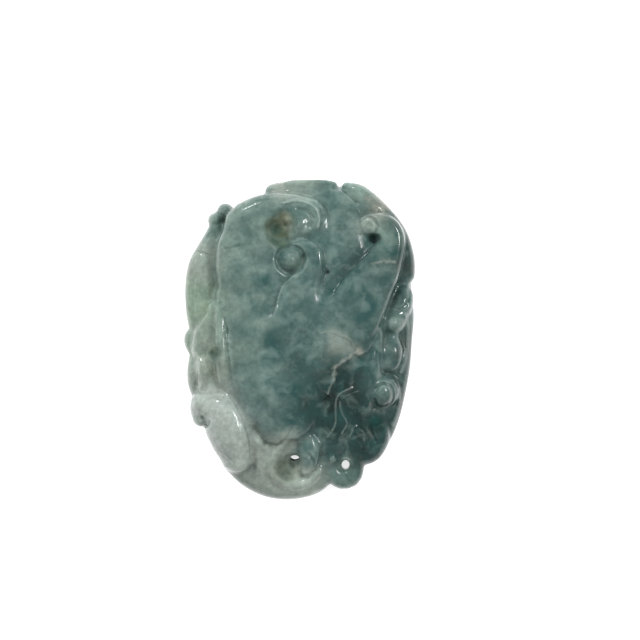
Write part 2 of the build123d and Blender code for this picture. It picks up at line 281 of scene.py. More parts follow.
raise_form(LEAF_FIELD, 2.0, squareness=3.0)
raise_form(LOW_LEAF, 2.0, squareness=2.8)
raise_bud(-7.8, -12.7, 11.2, 1.7, 4.0)
raise_form(VINE_RING, 2.0, squareness=2.8)
raise_form(VINE_DISC, 2.0, squareness=3.4)
raise_form(LOOP, 1.2, squareness=2.8)
raise_form(LOOP_FIELD, 1.6, squareness=2.8)
raise_bud(5.3, -18.9, 8.8, 1.3, 2.0)

# The dark twig and its leaves.
# At the lower right a thin forked twig runs down over two leaves, in the darkest green of the stone.
LOW_FACE = (
    (9.4, 2.0, 11.4, 8.6), (9.2, -2.0, 11.5, 9.0), (8.4, -5.4, 11.3, 9.8), (7.2, -8.4, 10.9, 10.0),
    (5.6, -12.0, 10.3, 8.4), (4.8, -15.6, 9.2, 6.8),
)
TWIG_LEAF = ((9.6, -9.0, 9.8, 3.4), (9.5, -10.2, 10.3, 4.8), (9.2, -11.6, 10.1, 5.0), (8.7, -12.8, 9.5, 3.4))
BROAD_LEAF = (
    (11.4, -12.6, 9.0, 5.6), (10.8, -14.6, 9.6, 7.8), (9.6, -17.0, 9.2, 7.6), (8.4, -18.4, 8.2, 5.0),
)
raise_form(LOW_FACE, 2.6, squareness=3.2)
raise_form(TWIG_LEAF, 2.6, squareness=2.8)
raise_form(BROAD_LEAF, 2.6, squareness=2.8)

# The fruit and its front fingers.
# The round body of the citron with three fingers in front: a broad thumb whose tip curls over a
# hollow, a middle finger that ends in a ball, and a right one that bends over a drilled pit.
PALM = (
    (-4.2, -15.9, 10.4, 3.2), (-3.9, -14.9, 11.0, 7.0), (-3.3, -13.2, 11.6, 11.6), (-3.1, -10.5, 12.0, 14.4),
    (-2.9, -7.5, 12.6, 16.4), (-2.3, -4.0, 12.9, 17.6), (0.4, -1.0, 13.0, 23.0), (1.0, 2.0, 12.9, 24.2),
    (1.4, 4.4, 12.7, 24.6), (1.5, 6.0, 12.2, 23.6), (1.6, 9.6, 11.3, 19.0),
)
THUMB = (
    (-5.9, -4.0, 12.5, 9.4), (-5.9, 1.5, 12.6, 11.0), (-6.4, 5.0, 12.4, 12.2), (-6.4, 8.4, 12.2, 13.0),
    (-6.5, 12.0, 12.1, 13.6), (-6.8, 15.0, 12.0, 12.6), (-6.8, 17.4, 12.0, 10.2),
)
THUMB_HEAD = (
    (-7.6, 17.2, 12.0, 9.6), (-5.0, 18.4, 12.0, 9.4), (-2.0, 18.9, 12.0, 8.8), (0.2, 19.15, 12.0, 7.9),
    (1.2, 19.2, 11.9, 7.2),
)
MIDDLE_FINGER = (
    (-0.6, 2.0, 12.6, 7.4), (0.1, 5.6, 12.7, 7.4), (0.9, 8.8, 12.6, 6.2), (2.2, 11.4, 12.5, 4.2),
    (2.4, 13.4, 12.4, 3.4), (1.0, 14.5, 12.2, 2.9), (-0.8, 14.0, 12.1, 2.7),
)
RIGHT_FINGER = (
    (6.4, 0.0, 12.5, 9.6), (8.7, 4.4, 12.5, 9.6), (10.9, 8.3, 12.4, 8.4), (13.0, 11.5, 12.3, 6.6),
    (14.6, 14.8, 12.1, 4.6), (14.5, 16.6, 12.0, 4.4), (13.4, 17.9, 11.9, 4.1), (11.6, 18.2, 11.7, 3.7),
    (10.9, 18.0, 11.5, 3.5),
)
raise_form(PALM, 3.0, squareness=3.2, rounding=0.4)
raise_form(THUMB, 3.0, squareness=4.0)
raise_form(THUMB_HEAD, 3.0, squareness=3.8)
raise_form(MIDDLE_FINGER, 3.0, squareness=4.4)
raise_bud(-0.5, 13.2, 11.8, 3.0, 3.0)
raise_bud(-1.3, 12.6, 13.0, 2.0, 8.6)
raise_form(RIGHT_FINGER, 3.0, squareness=4.4)

# The stone in one piece.
# The carver works all of this from a single stone, so the forms are joined into one skin here.
SKIN_STEP = 0.2
stone_mesh = bpy.data.meshes.new("carved_stone")
clay.to_mesh(stone_mesh)
clay.free()
stone = bpy.data.objects.new("carved_stone", stone_mesh)
bpy.context.collection.objects.link(stone)


def take_modifiers(piece):
    """Takes what a piece's modifiers make as its own mesh."""
    graph = bpy.context.evaluated_depsgraph_get()
    finished = bpy.data.meshes.new_from_object(piece.evaluated_get(graph))
    piece.modifiers.clear()
    piece.data = finished


join = stone.modifiers.new("join", "REMESH")
join.mode = "VOXEL"
join.voxel_size = SKIN_STEP
polish = stone.modifiers.new("polish", "SMOOTH")
polish.factor = 0.5
polish.iterations = 5
take_modifiers(stone)

# The hollows and soft blends.
# The hollows are ground down into the joined stone with round burrs. Where a finger grows out of
# the fruit the step between them is rubbed away, as the lap leaves no edge there.
# across, up, half width, half length, floor, and how steep the wall is
HOLLOWS = ((11.85, 15.85, 1.2, 1.0, 9.2, 4.0),)
# across, up, radius, and how far the middle is raised or sunk
MOUNDS = (
    (-3.3, 17.3, 2.8, -1.35), (-3.9, 17.7, 1.6, -0.8), (-2.6, 19.0, 2.0, -0.8), (-2.9, 15.8, 1.8, -0.7),
    (-2.1, 18.0, 0.45, -0.7), (-2.0, 18.9, 0.9, 0.6), (0.4, 18.3, 1.3, 0.3), (1.0, 17.0, 1.0, 0.35),
    (-1.9, -20.6, 2.2, -1.1), (-1.0, -19.4, 1.6, -1.3), (-6.3, -16.2, 1.2, 0.3), (4.6, 10.6, 0.4, -0.5),
    (-15.2, -12.3, 0.4, -0.6), (-13.1, -2.3, 1.3, -0.8), (-4.4, 12.8, 3.0, -0.4), (-1.3, 12.6, 1.9, 0.3),
    (-2.4, 14.6, 1.7, -0.5),
)
BLENDS = (
    (-7.4, 2.6, 3.6, 90), (-7.2, -2.4, 3.4, 90), (-9.6, 4.6, 1.9, 60), (-3.2, 0.4, 3.4, 90),
    (0.4, 2.6, 3.2, 90), (6.0, 2.6, 3.4, 90), (9.6, 3.4, 3.0, 90), (-8.6, 15.6, 3.2, 90),
    (-6.2, 13.2, 3.0, 60), (3.6, 0.0, 3.4, 60), (1.2, 17.4, 1.4, 20), (-4.0, -6.0, 3.4, 30),
    (0.6, -5.4, 3.0, 30), (4.6, -10.4, 2.6, 90), (3.6, -13.2, 2.4, 90), (5.6, -6.8, 2.4, 60),
    (-8.6, -13.2, 1.3, 40), (9.6, -3.2, 1.6, 60), (12.0, -1.0, 1.4, 40), (4.0, 6.6, 2.0, 80),
)


def surface_map(form):
    """Finds the carved side's corners from their places in the plan."""
    form.verts.ensure_lookup_table()
    form.normal_update()
    face_corners = [corner for corner in form.verts if corner.normal.z > 0.02]
    plan = kdtree.KDTree(len(face_corners))
    for corner in face_corners:
        plan.insert((corner.co.x, corner.co.y, 0), corner.index)
    plan.balance()
    return plan


FACING_UP = 0.35
carved = bmesh.new()
carved.from_mesh(stone.data)
plan = surface_map(carved)
for across, up, radius, passes in BLENDS:
    for share in (1.0, 0.8):
        found = plan.find_range((across, up, 0), radius * share)
        near = [carved.verts[index] for place, index, distance in found]
        near = [corner for corner in near if corner.normal.z > FACING_UP]
        for rub in range(passes // 2):
            bmesh.ops.smooth_vert(
                carved, verts=near, factor=0.5, use_axis_x=False, use_axis_y=False, use_axis_z=True
            )
HOLLOW_REACH = 1.25
HOLLOW_RIM = 12.0
for across, up, half_width, half_length, floor, steepness in HOLLOWS:
    ground_away = HOLLOW_REACH * max(half_width, half_length)
    for place, index, distance in plan.find_range((across, up, 0), ground_away):
        corner = carved.verts[index]
        reach = math.hypot((corner.co.x - across) / half_width, (corner.co.y - up) / half_length)
        wall = floor + (HOLLOW_RIM - floor) * reach ** steepness
        if corner.co.z > wall:
            corner.co.z = wall
for across, up, radius, rise in MOUNDS:
    for place, index, distance in plan.find_range((across, up, 0), radius):
        carved.verts[index].co.z += rise * (1 - (distance / radius) ** 2) ** 2
carved.to_mesh(stone.data)
carved.free()

settle = stone.modifiers.new("settle", "REMESH")
settle.mode = "VOXEL"
settle.voxel_size = SKIN_STEP
polish = stone.modifiers.new("polish", "SMOOTH")
polish.factor = 0.5
polish.iterations = 3
take_modifiers(stone)

# The drilled holes.
# A round hole in the small lobe at the lower right takes the cord, and an oval one is pierced
# through the curl beside it. Both go straight through with a thin drill.
# across, up, half width, half length
DRILLINGS = ((7.44, -20.02, 0.64, 0.78), (-0.65, -18.9, 0.72, 0.45))
DRILL_LENGTH = 30.0
drill_mesh = bpy.data.meshes.new("drills")
drill = bmesh.new()
for across, up, half_width, half_length in DRILLINGS:
    place = Matrix.Translation((across, up, 0)) @ Matrix.Diagonal((half_width, half_length, 1, 1))
    bmesh.ops.create_cone(
        drill, cap_ends=True, segments=32, radius1=1.0, radius2=1.0, depth=DRILL_LENGTH, matrix=place
    )
drill.to_mesh(drill_mesh)
drill.free()
drills = bpy.data.objects.new("drills", drill_mesh)
bpy.context.collection.objects.link(drills)
bore = stone.modifiers.new("bore", "BOOLEAN")
bore.operation = "DIFFERENCE"
bore.solver = "MANIFOLD"
bore.object = drills
take_modifiers(stone)
bpy.data.objects.remove(drills)
bpy.data.meshes.remove(drill_mesh)

# The cut lines.
# Fine lines drawn with a thin wheel: the coils of the curled tips, the rims that follow the edges,
# the veins of the leaves and the raised forked twig.
# depth, half width, and the line's places across and up; a depth below nothing is a raised line
CUT_LINES = (
    (0.50, 0.55, (
        (0.8, 12.6), (0.2, 14.1), (-1.3, 14.7), (-2.8, 14.1), (-3.4, 12.6), (-2.8, 11.1), (-1.3, 10.5),
        (0.2, 11.1), (0.8, 12.6),
    )),
    (0.35, 0.40, ((12.2, 17.0), (12.4, 18.0), (11.8, 19.0), (10.6, 19.3), (9.6, 18.6))),
    (-0.30, 0.40, ((-2.4, 21.5), (-0.6, 21.9), (1.2, 21.6), (2.6, 20.7), (3.3, 19.2), (3.1, 17.8))),
    (0.30, 0.40, ((-0.2, 20.6), (1.4, 20.3), (2.2, 19.2), (1.9, 18.0))),
    (0.14, 0.35, ((-16.8, 3.5), (-16.9, 7.0), (-16.7, 10.5), (-16.0, 13.0))),
    (0.10, 0.30, ((-16.1, 4.0), (-16.2, 8.0), (-15.9, 11.5))),
    (0.25, 0.30, ((-16.0, 14.0), (-15.0, 13.6), (-14.0, 13.3))),
    (0.20, 0.30, ((-14.2, -9.4), (-15.0, -10.2), (-15.6, -11.4), (-15.3, -12.6))),
    (0.20, 0.32, ((-0.8, -13.6), (-1.9, -15.4), (-2.8, -16.4), (-3.6, -16.8))),
    (0.30, 0.35, ((1.6, -18.2), (2.0, -18.8), (2.4, -19.4), (2.2, -20.4), (1.2, -21.6))),
    (0.30, 0.35, ((3.6, -17.0), (3.4, -18.8), (2.9, -20.2), (1.4, -22.0))),
    (-0.35, 0.45, ((16.9, 4.0), (17.2, 2.0), (17.2, -1.0), (16.8, -3.4), (16.2, -5.2))),
    (-0.35, 0.45, ((15.0, -6.4), (15.8, -8.0), (15.9, -10.0), (15.5, -12.0), (14.9, -13.6))),
    (0.30, 0.35, ((17.6, 8.0), (17.5, 6.4), (16.9, 5.2), (15.8, 4.6))),
    (0.40, 0.40, (
        (12.0, -9.6), (12.6, -10.6), (14.0, -10.6), (14.9, -9.2), (14.6, -7.6), (13.3, -7.0),
        (12.3, -7.8),
    )),
    (0.30, 0.35, ((12.8, -2.2), (12.9, -3.6), (13.2, -5.0))),
    (-0.22, 0.22, (
        (8.6, -7.6), (7.4, -8.1), (6.4, -8.7), (5.8, -9.8), (5.8, -11.6), (5.8, -13.3), (5.4, -14.4),
        (4.5, -15.6),
    )),
    (-0.20, 0.22, (
        (9.4, -8.2), (7.8, -8.8), (6.7, -9.6), (6.5, -10.6), (6.9, -11.9), (7.5, -12.9), (7.6, -13.6),
        (6.8, -15.0),
    )),
    (-0.18, 0.22, ((8.9, -13.7), (8.4, -14.8), (7.8, -15.8), (7.1, -17.4))),
    (0.16, 0.34, ((9.4, -13.6), (10.4, -14.6), (10.8, -16.0), (10.2, -17.6))),
    (0.16, 0.34, ((11.2, -13.6), (11.6, -14.8), (12.2, -16.2))),
    (0.14, 0.34, ((9.0, -15.4), (10.0, -16.2), (10.6, -17.4))),
    (-0.20, 0.30, ((-16.8, -2.7), (-16.2, -2.3), (-15.8, -3.4), (-15.9, -5.0), (-15.4, -6.6), (-15.6, -7.8))),
    (0.25, 0.35, ((-16.6, -2.4), (-16.1, -3.4), (-16.1, -4.8), (-16.4, -7.2))),
    (0.12, 0.30, ((-11.6, 14.4), (-10.6, 14.5), (-9.4, 14.8))),
    (0.15, 0.30, ((-15.3, -14.3), (-15.2, -13.4), (-15.0, -12.6))),
)
# depth, width, and the line's places: the side to the right of the way along it is cut down
STEPS = (
    (0.62, 3.2, (
        (1.0, 11.8), (0.4, 11.4), (-1.0, 10.0), (-2.5, 8.5), (-3.2, 6.8), (-3.6, 5.0), (-4.2, 3.8),
        (-5.5, 3.1),
    )),
    (0.45, 3.0, (
        (3.2, -14.5), (3.5, -12.0), (3.8, -9.8), (4.7, -8.6), (5.1, -7.3), (5.7, -6.4), (5.4, -5.8),
        (5.7, -5.4), (5.8, -4.6), (6.7, -3.9), (7.4, -3.4), (8.1, -2.9), (8.6, -2.2), (9.5, -2.5),
        (10.2, -2.1), (11.0, -1.5), (12.8, 1.5),
    )),
    (0.6, 1.4, (
        (-12.3, 6.0), (-12.0, 4.5), (-11.1, 1.8), (-11.1, 0.0), (-10.8, -3.0), (-10.5, -6.0),
        (-10.4, -8.0),
    )),
    (0.35, 1.8, (
        (12.4, 15.0), (11.5, 14.2), (10.0, 12.5), (8.5, 10.9), (7.3, 9.9), (6.5, 8.5), (5.5, 7.3),
        (4.2, 6.1),
    )),
    (0.3, 1.2, (
        (4.0, 6.3), (3.8, 8.0), (3.9, 9.5), (4.3, 11.5), (4.0, 13.0), (3.0, 14.6), (1.5, 15.7), (0.0, 15.9),
        (-1.5, 15.3), (-2.8, 14.3),
    )),
    (0.4, 1.2, (
        (2.8, 15.5), (3.6, 16.6), (4.4, 18.0), (4.5, 19.6), (3.7, 21.2), (2.0, 22.6), (0.0, 23.2),
        (-2.5, 23.3), (-5.4, 22.9),
    )),
    (0.4, 1.2, (
        (15.2, 9.0), (15.6, 10.3), (16.2, 12.0), (16.6, 14.0), (16.7, 15.5), (16.4, 17.0), (15.5, 18.6),
        (14.0, 19.6), (12.2, 20.0), (10.6, 19.6), (9.5, 18.8), (9.2, 17.8), (9.4, 17.0),
    )),
    (0.5, 1.3, (
        (-8.8, -20.2), (-8.0, -19.0), (-7.9, -17.5), (-8.2, -15.5), (-8.8, -13.5), (-9.7, -11.3),
        (-11.0, -9.3), (-12.5, -8.0), (-14.0, -7.6),
    )),
    (0.22, 1.0, ((-8.0, -14.4), (-6.5, -15.0), (-4.5, -16.5), (-2.8, -16.2), (-1.6, -14.8), (-0.8, -13.4))),
    (0.5, 1.6, ((10.0, 20.4), (9.5, 21.2), (8.4, 22.1), (7.1, 23.3), (6.4, 24.3))),
    (0.22, 2.4, ((3.5, 1.0), (5.0, 1.3), (6.4, 0.7), (7.6, 0.3), (8.4, -0.3), (8.7, -1.1), (9.6, -1.7))),
)
finished = bmesh.new()
finished.from_mesh(stone.data)
plan = surface_map(finished)
STEP_FADE = 3.5
SNAP_REACH = 0.55
for depth, width, line in STEPS:
    nearest = {}
    path = smoothed(line, 0.05)
    for place, (across, up) in enumerate(path):
        after = path[min(place + 1, len(path) - 1)]
        before = path[max(place - 1, 0)]
        to_end = min(place, len(path) - 1 - place)
        fade = min(1.0, STEP_FADE * to_end / len(path))
        for spot, index, distance in plan.find_range((across, up, 0), width):
            if distance < nearest.get(index, (width,))[0]:
                side = (spot.x - across) * (after[1] - before[1]) - (spot.y - up) * (after[0] - before[0])
                nearest[index] = (distance, side, fade, across, up)
    for index, (distance, side, fade, across, up) in nearest.items():
        if distance < SKIN_STEP * SNAP_REACH:
            finished.verts[index].co.x = across
            finished.verts[index].co.y = up
        elif side > 0:
            finished.verts[index].co.z -= depth * fade * (1 - distance / width) ** 1.5
for depth, half_width, line in CUT_LINES:
    nearest = {}
    for across, up in smoothed(line, 0.12):
        for place, index, distance in plan.find_range((across, up, 0), half_width):
            nearest[index] = min(nearest.get(index, half_width), distance)
    for index, distance in nearest.items():
        finished.verts[index].co.z -= depth * (1 - (distance / half_width) ** 2) ** 2
bmesh.ops.smooth_vert(
    finished, verts=finished.verts, factor=0.5, use_axis_x=True, use_axis_y=True, use_axis_z=True
)
finished.to_mesh(stone.data)
finished.free()

# the flat back needs few faces, and thinning them leaves more for the carving
KEPT_FACES = 0.68
thin = stone.modifiers.new("thin", "DECIMATE")
thin.ratio = KEPT_FACES
take_modifiers(stone)

# thinning leaves a few faces at the drilled holes that do not join up, so they are taken out and closed
MENDING_TURNS = 4
mended = bmesh.new()
mended.from_mesh(stone.data)
bmesh.ops.triangulate(mended, faces=mended.faces)
for turn in range(MENDING_TURNS):
    torn = [face for face in mended.faces if any(len(edge.link_faces) != 2 for edge in face.edges)]
    bmesh.ops.delete(mended, geom=torn, context="FACES")
    gaps = [edge for edge in mended.edges if len(edge.link_faces) < 2]
    filled = bmesh.ops.holes_fill(mended, edges=gaps, sides=0)["faces"]
    bmesh.ops.triangulate(mended, faces=filled)
bmesh.ops.recalc_face_normals(mended, faces=mended.faces)
mended.to_mesh(stone.data)
mended.free()

# The colour in the stone, with painted shade and highlights laid into it.
# The jadeite is cloudy: milky at the lower left, grey green on the left, blue grey in the fruit and
# dark green at the lower right, with brown left in the hollows. Painted shade lies down the right edge,
# beside the raised finger edges, left of the ball and in the drilled pit, with painted highlights on the
# twig.
DISPLAY_WHITE = 255


def shade(red, green, blue):
    """A colour from its display values out of 255."""
    return Vector([((part / DISPLAY_WHITE + 0.055) / 1.055) ** 2.4 for part in (red, green, blue)])


MILK = shade(168, 177, 170)
CLOUD = shade(154, 164, 153)
SAGE = shade(140, 160, 139)
MIST = shade(114, 136, 127)
SLATE = shade(97, 120, 115)
TEAL = shade(76, 101, 97)
DEEP = shade(10, 42, 38)
OLIVE = shade(98, 104, 76)
BROWN = shade(122, 124, 104)
ROSE = shade(138, 134, 122)
CHIP = shade(176, 178, 166)
# a dark green for the crack line and the small dot, and for painted shade down the right side wall
DARK_MARKS_AND_SIDE_SHADE = shade(58, 70, 64)
# across, up, radius, colour, strength
CLOUDS = (
    (-14.6, -10.6, 3.4, MILK, 2.0), (-11.6, -14.0, 3.6, MILK, 2.0), (-9.8, -18.4, 3.4, MILK, 2.0),
    (-6.0, -18.0, 3.2, CLOUD, 1.2), (-6.0, -22.8, 3.4, CLOUD, 1.2), (0.0, -23.4, 3.4, CLOUD, 1.0),
    (-2.0, -16.6, 2.4, CLOUD, 1.0), (-16.2, 6.0, 4.2, SAGE, 1.2), (-15.6, 12.0, 3.6, CLOUD, 1.0),
    (-15.6, 0.0, 3.0, MILK, 0.7), (-15.6, 0.0, 3.4, SAGE, 1.2), (-15.2, -5.2, 3.4, CLOUD, 1.2),
    (-12.6, 19.4, 2.6, MIST, 1.2), (-9.2, 3.2, 4.4, MIST, 1.0), (-9.6, 9.4, 4.4, MIST, 1.0),
    (-10.0, 14.4, 4.2, MIST, 1.0), (-7.6, 20.0, 3.4, MIST, 1.0), (-4.6, 11.4, 3.0, SLATE, 1.0),
    (2.2, 20.2, 3.0, MIST, 1.0), (5.4, 20.0, 3.8, SLATE, 1.0), (6.2, 13.4, 3.8, TEAL, 0.7),
    (0.4, 24.6, 3.0, CLOUD, 0.3), (-3.2, 24.0, 1.8, CLOUD, 0.5), (9.2, 23.4, 2.8, MIST, 1.0),
    # the dark clouds along the right edge, here and below, are painted shade on the side wall that faces away
    # from the light
    (12.4, 21.0, 2.4, ROSE, 0.6), (17.6, 13.6, 2.6, DARK_MARKS_AND_SIDE_SHADE, 1.6), (15.4, 18.4, 2.2, DARK_MARKS_AND_SIDE_SHADE, 0.8),
    (10.8, 8.8, 4.2, TEAL, 0.8), (14.0, 16.4, 3.2, MIST, 0.7), (10.6, 18.0, 2.0, CLOUD, 0.35),
    # the teal cloud left of the ball is painted shade beside it
    (1.2, 7.4, 3.4, SLATE, 1.0), (-1.3, 12.6, 1.5, MIST, 1.6), (-3.8, 13.4, 1.4, TEAL, 1.4),
    (-1.0, -2.6, 4.8, TEAL, 1.3), (-4.4, -6.6, 4.4, SLATE, 0.9), (-4.8, -11.6, 4.2, SLATE, 1.0),
    (2.6, -9.4, 3.4, DEEP, 1.0), (7.6, 4.0, 4.4, TEAL, 1.3), (-9.0, -1.8, 3.8, MIST, 1.0),
    (7.2, -6.0, 3.8, DEEP, 2.6), (7.2, -12.0, 4.4, DEEP, 2.4), (10.6, -15.4, 4.4, DEEP, 1.8),
    (11.6, -4.8, 3.6, TEAL, 1.0), (17.6, -2.0, 3.2, DARK_MARKS_AND_SIDE_SHADE, 0.8), (16.8, 6.0, 2.8, SLATE, 1.0),
    (14.8, 2.8, 2.4, MIST, 0.8), (14.4, -3.0, 2.6, SLATE, 0.8), (13.2, -8.2, 2.8, SLATE, 0.8),
    (17.2, -10.0, 3.0, DARK_MARKS_AND_SIDE_SHADE, 1.0), (14.6, -16.4, 3.0, DARK_MARKS_AND_SIDE_SHADE, 0.8), (7.4, -21.6, 2.8, MIST, 1.0),
    (1.0, -10.4, 1.5, DEEP, 1.2), (-0.8, -12.0, 1.2, DEEP, 0.8), (3.0, -11.6, 1.8, DEEP, 1.4),
    (0.4, -4.2, 1.5, DEEP, 0.7), (3.8, -0.8, 1.6, TEAL, 1.2), (10.2, -9.8, 1.8, DEEP, 1.4),
    (5.0, -12.4, 1.8, DEEP, 1.4), (2.0, -22.6, 2.4, CLOUD, 0.8), (9.6, -1.9, 0.5, CHIP, 2.0),
    (8.3, -2.7, 0.3, CHIP, 1.6), (7.0, -3.4, 0.4, CHIP, 2.0), (5.8, -4.4, 0.3, CHIP, 1.6),
    # the teal and deep clouds at the right edge are painted shade on the side wall, over the stone's own dark
    # green
    (5.6, -5.6, 0.25, CHIP, 1.6), (16.4, -5.4, 3.0, TEAL, 2.0), (17.0, -6.0, 1.8, DEEP, 1.6),
    (16.6, -10.0, 2.0, DEEP, 1.0), (1.6, -17.6, 2.6, SLATE, 1.0), (12.0, -18.2, 3.4, DEEP, 1.0),
    (5.8, -0.4, 2.0, CLOUD, 1.2), (7.6, -1.6, 1.5, CLOUD, 1.3), (9.4, -2.2, 1.0, ROSE, 0.6),
    (6.4, -3.6, 1.0, CLOUD, 0.5), (-3.9, 17.6, 1.2, OLIVE, 1.7), (-2.2, 18.6, 1.3, BROWN, 1.4),
    (-3.2, 15.8, 1.6, OLIVE, 0.7), (-13.3, -2.2, 1.2, OLIVE, 1.2), (-13.4, -4.4, 1.4, OLIVE, 0.7),
    (-13.4, -5.4, 1.8, BROWN, 1.4), (-2.2, -20.9, 1.8, BROWN, 1.2), (-6.0, 9.5, 1.8, TEAL, 1.4),
    (-9.5, 7.8, 1.3, TEAL, 1.0), (-4.0, -0.5, 1.8, DEEP, 0.9), (-1.0, -3.6, 1.8, DEEP, 1.0),
    # the teal cloud in the drilled pit by the right finger is painted shade
    (4.6, 10.6, 0.25, DARK_MARKS_AND_SIDE_SHADE, 8.0), (11.85, 15.85, 1.1, TEAL, 1.2),
)
# half width, colour, strength, and the line's places across and up
TINTED_LINES = (
    (0.18, CHIP, 1.1, (
        (10.2, -2.1), (9.7, -2.3), (9.2, -1.9), (8.7, -2.3), (8.2, -2.5), (8.1, -3.0), (7.5, -2.9),
        (7.3, -3.4), (6.7, -3.4), (6.5, -4.0), (5.9, -4.1), (5.7, -4.8), (5.9, -5.4), (5.4, -5.7),
    )),
    (0.17, CHIP, 0.9, ((5.4, -5.7), (5.7, -6.3), (5.2, -6.6), (5.1, -7.3), (4.8, -7.7), (4.7, -8.6))),
    (0.2, CLOUD, 0.8, (
        (3.5, 1.0), (5.0, 1.3), (6.4, 0.7), (7.6, 0.3), (8.4, -0.3), (8.7, -1.1), (9.6, -1.7),
    )),
    (0.24, DARK_MARKS_AND_SIDE_SHADE, 0.9, ((-11.6, 14.4), (-10.6, 14.5), (-9.4, 14.8))),
    (0.22, CLOUD, 0.8, ((11.4, 11.9), (12.8, 12.2), (14.0, 12.3), (15.2, 12.2))),
    (0.30, ROSE, 1.6, ((10.8, 22.5), (11.6, 21.7), (12.0, 20.9))),
    (0.22, CLOUD, 1.4, ((12.3, 20.3), (12.8, 20.9), (13.4, 20.7), (13.4, 20.1), (12.8, 19.9))),
    # the milky lines along the raised twig are painted highlights on its ridges
    (0.17, MILK, 1.4, (
        (8.6, -7.6), (7.4, -8.1), (6.4, -8.7), (5.9, -9.8), (5.9, -11.6), (5.8, -13.3), (5.3, -14.4),
    )),
    (0.17, MILK, 1.0, ((6.5, -9.9), (6.9, -11.5), (7.6, -13.2), (6.8, -15.0))),
    (0.17, MILK, 0.7, ((8.6, -13.8), (8.1, -15.4))),
    # these two broad lines are painted shade on the lower ground along the left edges of the right and middle
    # fingers
    (1.1, DEEP, 0.5, ((10.4, 14.4), (9.0, 12.8), (7.6, 11.2), (6.2, 9.6), (4.6, 7.8))),
    (1.3, TEAL, 1.0, ((-1.8, 9.0), (-3.2, 7.8), (-4.2, 6.0), (-5.0, 4.4))),
)
finished = bmesh.new()
finished.from_mesh(stone.data)
finished.verts.ensure_lookup_table()
places = kdtree.KDTree(len(finished.verts))
for corner in finished.verts:
    places.insert((corner.co.x, corner.co.y, 0), corner.index)
places.balance()
GROUND = 0.12
CLOUD_REACH = 2.2
CLOUD_FADE = 1.4
weights = [GROUND] * len(finished.verts)
colours = [GROUND * SLATE for corner in finished.verts]
for across, up, radius, colour, strength in CLOUDS:
    for place, index, distance in places.find_range((across, up, 0), CLOUD_REACH * radius):
        weight = strength * math.exp(-CLOUD_FADE * (distance / radius) ** 2)
        weights[index] += weight
        colours[index] += weight * colour
for half_width, colour, strength, line in TINTED_LINES:
    nearest = {}
    for across, up in smoothed(line, 0.1):
        for place, index, distance in places.find_range((across, up, 0), half_width):
            nearest[index] = min(nearest.get(index, half_width), distance)
    for index, distance in nearest.items():
        weight = strength * (1 - (distance / half_width) ** 2)
        weights[index] += weight
        colours[index] += weight * colour

# the polish does not reach into the hollows
POLISHED_HEIGHT = 12.5
DEEP_ENOUGH = -0.45
SUNK_SPREAD = 1.3
PIT_SPREAD = 2.0
# across, up and radius: the dip by the broad leaf, the fingers' crotch and the end of the broken edge
DULL_SPOTS = ((12.4, -13.4, 2.8), (4.0, 6.4, 1.8), (9.6, -3.2, 1.4))
dullness = [0.0] * len(finished.verts)
sunk = [(across, up, SUNK_SPREAD * radius) for across, up, radius, rise in MOUNDS if rise < DEEP_ENOUGH]
sunk += DULL_SPOTS
sunk += [(across, up, PIT_SPREAD * half_width) for across, up, half_width, *shape in HOLLOWS]
for across, up, radius in sunk:
    for place, index, distance in places.find_range((across, up, 0), radius):
        depth = min(1.0, max(0.0, 2.0 * (POLISHED_HEIGHT - finished.verts[index].co.z)))
        dullness[index] = max(dullness[index], depth * (1 - (distance / radius) ** 2))

# how far each corner stands out of the surface round it, for the painted highlight on the crisp edges and the
# painted shade in the bottoms of grooves
EDGE_PASSES = 10
smoothed_stone = finished.copy()
for rub in range(EDGE_PASSES):
    bmesh.ops.smooth_vert(
        smoothed_stone, verts=smoothed_stone.verts, factor=0.5, use_axis_x=True, use_axis_y=True, use_axis_z=True
    )
smoothed_stone.verts.ensure_lookup_table()
finished.normal_update()
edges = [
    (corner.co - smoothed_stone.verts[corner.index].co).dot(corner.normal) for corner in finished.verts
]
smoothed_stone.free()
DRILL_SPREAD = 1.3
for across, up, half_width, half_length in DRILLINGS:
    reach = DRILL_SPREAD * max(half_width, half_length)
    for place, index, distance in places.find_range((across, up, 0), reach):
        edges[index] = 0.0

# the flat back keeps one plain colour and no painted edge highlight
BACK_HEIGHT = 0.05
FACING_DOWN = -0.99
for corner in finished.verts:
    if corner.co.z < BACK_HEIGHT:
        weights[corner.index] = 1.0
        colours[corner.index] = SLATE
        edges[corner.index] = 0.0
MILLIMETRE = 0.001
bmesh.ops.scale(finished, vec=(MILLIMETRE,) * 3, verts=finished.verts)
for face in finished.faces:
    face.smooth = face.normal.z > FACING_DOWN
finished.to_mesh(stone.data)
finished.free()
tints = stone.data.attributes.new("tint", "FLOAT_COLOR", "POINT")
opaque = [part for colour, weight in zip(colours, weights) for part in (*(colour / weight), 1.0)]
tints.data.foreach_set("color", opaque)
# the painted highlight on the edges and the painted shade in the grooves are read from this
edge_highlight_and_groove_shade_values = stone.data.attributes.new("edge_highlight_and_groove_shade", "FLOAT", "POINT")
edge_highlight_and_groove_shade_values.data.foreach_set("value", edges)
dulls = stone.data.attributes.new("dull", "FLOAT", "POINT")
dulls.data.foreach_set("value", dullness)
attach(stone, "root")
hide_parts("carved_jade")

